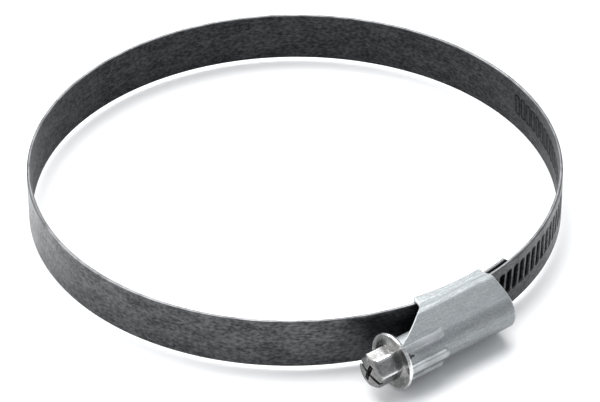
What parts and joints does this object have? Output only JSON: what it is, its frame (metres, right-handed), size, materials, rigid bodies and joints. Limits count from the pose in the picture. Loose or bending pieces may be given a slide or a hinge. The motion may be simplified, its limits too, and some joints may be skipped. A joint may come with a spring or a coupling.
{
  "type": "hose clamp",
  "caption": "Worm-drive hose clamp: slotted steel band closed to a ring by a hex-head screw in a pressed housing.",
  "frame": {"origin": "bottom centre of the bounding box; the ring lies flat and its toothed arc is centred 0.5 mm towards -X and 5.2 mm towards +Y of the origin, 7.05 mm up", "axes": "+Z along the ring axis, screw along X with its head towards -X, housing at -Y"},
  "size_m": [0.1208, 0.1312, 0.0141],
  "materials": {
    "band_zinc": "dull rolled zinc-plated strip",
    "housing_zinc": "satin zinc plate",
    "screw_zinc": "bright zinc plate"
  },
  "bodies": {
    "housing": {"worm_housing": "housing_zinc", "band_fixed_end": "band_zinc"},
    "screw": {"clamp_screw": "screw_zinc"},
    "link_01": {"band_link_01": "band_zinc"},
    "link_02": {"band_link_02": "band_zinc"},
    "link_03": {"band_link_03": "band_zinc"},
    "link_04": {"band_link_04": "band_zinc"},
    "link_05": {"band_link_05": "band_zinc"},
    "link_06": {"band_link_06": "band_zinc"},
    "link_07": {"band_link_07": "band_zinc"},
    "link_08": {"band_link_08": "band_zinc"},
    "link_09": {"band_link_09": "band_zinc"},
    "link_10": {"band_link_10": "band_zinc"},
    "link_11": {"band_link_11": "band_zinc"},
    "link_12": {"band_link_12": "band_zinc"},
    "link_13": {"band_link_13": "band_zinc"},
    "link_14": {"band_link_14": "band_zinc"},
    "link_15": {"band_link_15": "band_zinc"},
    "link_16": {"band_link_16": "band_zinc"},
    "toothed_end": {"band_toothed_end": "band_zinc"}
  },
  "joints": [
    {"name": "screw_turn", "type": "hinge", "parent": "housing", "child": "screw", "pos_m": [-0.01047, -0.05908, 0.00705], "axis": [1, 0, 0], "range_deg": [0, 11880]},
    {"name": "band_feed", "type": "hinge", "parent": "housing", "child": "toothed_end", "pos_m": [-0.00047, 0.00517, 0.00705], "axis": [0, 0, -1], "range_deg": [0, 78.26]},
    {"name": "band_flex_01", "type": "hinge", "parent": "housing", "child": "link_01", "pos_m": [-0.01674, -0.05159, 0.00705], "axis": [0, 0, -1], "range_deg": [0, 6.52]},
    {"name": "band_flex_02", "type": "hinge", "parent": "link_01", "child": "link_02", "pos_m": [-0.03097, -0.04549, 0.00705], "axis": [0, 0, -1], "range_deg": [0, 6.25]},
    {"name": "band_flex_03", "type": "hinge", "parent": "link_02", "child": "link_03", "pos_m": [-0.04314, -0.03589, 0.00705], "axis": [0, 0, -1], "range_deg": [0, 5.77]},
    {"name": "band_flex_04", "type": "hinge", "parent": "link_03", "child": "link_04", "pos_m": [-0.05241, -0.02344, 0.00705], "axis": [0, 0, -1], "range_deg": [0, 5.16]},
    {"name": "band_flex_05", "type": "hinge", "parent": "link_04", "child": "link_05", "pos_m": [-0.05814, -0.00899, 0.00705], "axis": [0, 0, -1], "range_deg": [0, 4.51]},
    {"name": "band_flex_06", "type": "hinge", "parent": "link_05", "child": "link_06", "pos_m": [-0.05992, 0.00648, 0.00705], "axis": [0, 0, -1], "range_deg": [0, 3.93]},
    {"name": "band_flex_07", "type": "hinge", "parent": "link_06", "child": "link_07", "pos_m": [-0.05762, 0.0219, 0.00705], "axis": [0, 0, -1], "range_deg": [0, 3.49]},
    {"name": "band_flex_08", "type": "hinge", "parent": "link_07", "child": "link_08", "pos_m": [-0.05139, 0.03621, 0.00705], "axis": [0, 0, -1], "range_deg": [0, 3.24]},
    {"name": "band_flex_09", "type": "hinge", "parent": "link_08", "child": "link_09", "pos_m": [-0.04164, 0.04844, 0.00705], "axis": [0, 0, -1], "range_deg": [0, 3.23]},
    {"name": "band_flex_10", "type": "hinge", "parent": "link_09", "child": "link_10", "pos_m": [-0.02903, 0.05772, 0.00705], "axis": [0, 0, -1], "range_deg": [0, 3.44]},
    {"name": "band_flex_11", "type": "hinge", "parent": "link_10", "child": "link_11", "pos_m": [-0.01442, 0.06341, 0.00705], "axis": [0, 0, -1], "range_deg": [0, 3.86]},
    {"name": "band_flex_12", "type": "hinge", "parent": "link_11", "child": "link_12", "pos_m": [0.00119, 0.06513, 0.00705], "axis": [0, 0, -1], "range_deg": [0, 4.42]},
    {"name": "band_flex_13", "type": "hinge", "parent": "link_12", "child": "link_13", "pos_m": [0.01672, 0.06272, 0.00705], "axis": [0, 0, -1], "range_deg": [0, 5.05]},
    {"name": "band_flex_14", "type": "hinge", "parent": "link_13", "child": "link_14", "pos_m": [0.03112, 0.05635, 0.00705], "axis": [0, 0, -1], "range_deg": [0, 5.65]},
    {"name": "band_flex_15", "type": "hinge", "parent": "link_14", "child": "link_15", "pos_m": [0.04339, 0.04645, 0.00705], "axis": [0, 0, -1], "range_deg": [0, 6.13]},
    {"name": "band_flex_16", "type": "hinge", "parent": "link_15", "child": "link_16", "pos_m": [0.05268, 0.03368, 0.00705], "axis": [0, 0, -1], "range_deg": [0, 6.41]}
  ],
  "couplings": [
    {"joint": "band_feed", "follows": "screw_turn", "ratio": 0.0065875},
    {"joint": "band_flex_01", "follows": "screw_turn", "ratio": 0.00054915},
    {"joint": "band_flex_02", "follows": "screw_turn", "ratio": 0.00052617},
    {"joint": "band_flex_03", "follows": "screw_turn", "ratio": 0.00048546},
    {"joint": "band_flex_04", "follows": "screw_turn", "ratio": 0.00043411},
    {"joint": "band_flex_05", "follows": "screw_turn", "ratio": 0.00038003},
    {"joint": "band_flex_06", "follows": "screw_turn", "ratio": 0.000331},
    {"joint": "band_flex_07", "follows": "screw_turn", "ratio": 0.0002937},
    {"joint": "band_flex_08", "follows": "screw_turn", "ratio": 0.00027303},
    {"joint": "band_flex_09", "follows": "screw_turn", "ratio": 0.00027163},
    {"joint": "band_flex_10", "follows": "screw_turn", "ratio": 0.00028962},
    {"joint": "band_flex_11", "follows": "screw_turn", "ratio": 0.0003246},
    {"joint": "band_flex_12", "follows": "screw_turn", "ratio": 0.00037184},
    {"joint": "band_flex_13", "follows": "screw_turn", "ratio": 0.00042476},
    {"joint": "band_flex_14", "follows": "screw_turn", "ratio": 0.00047557},
    {"joint": "band_flex_15", "follows": "screw_turn", "ratio": 0.0005162},
    {"joint": "band_flex_16", "follows": "screw_turn", "ratio": 0.00053932}
  ]
}
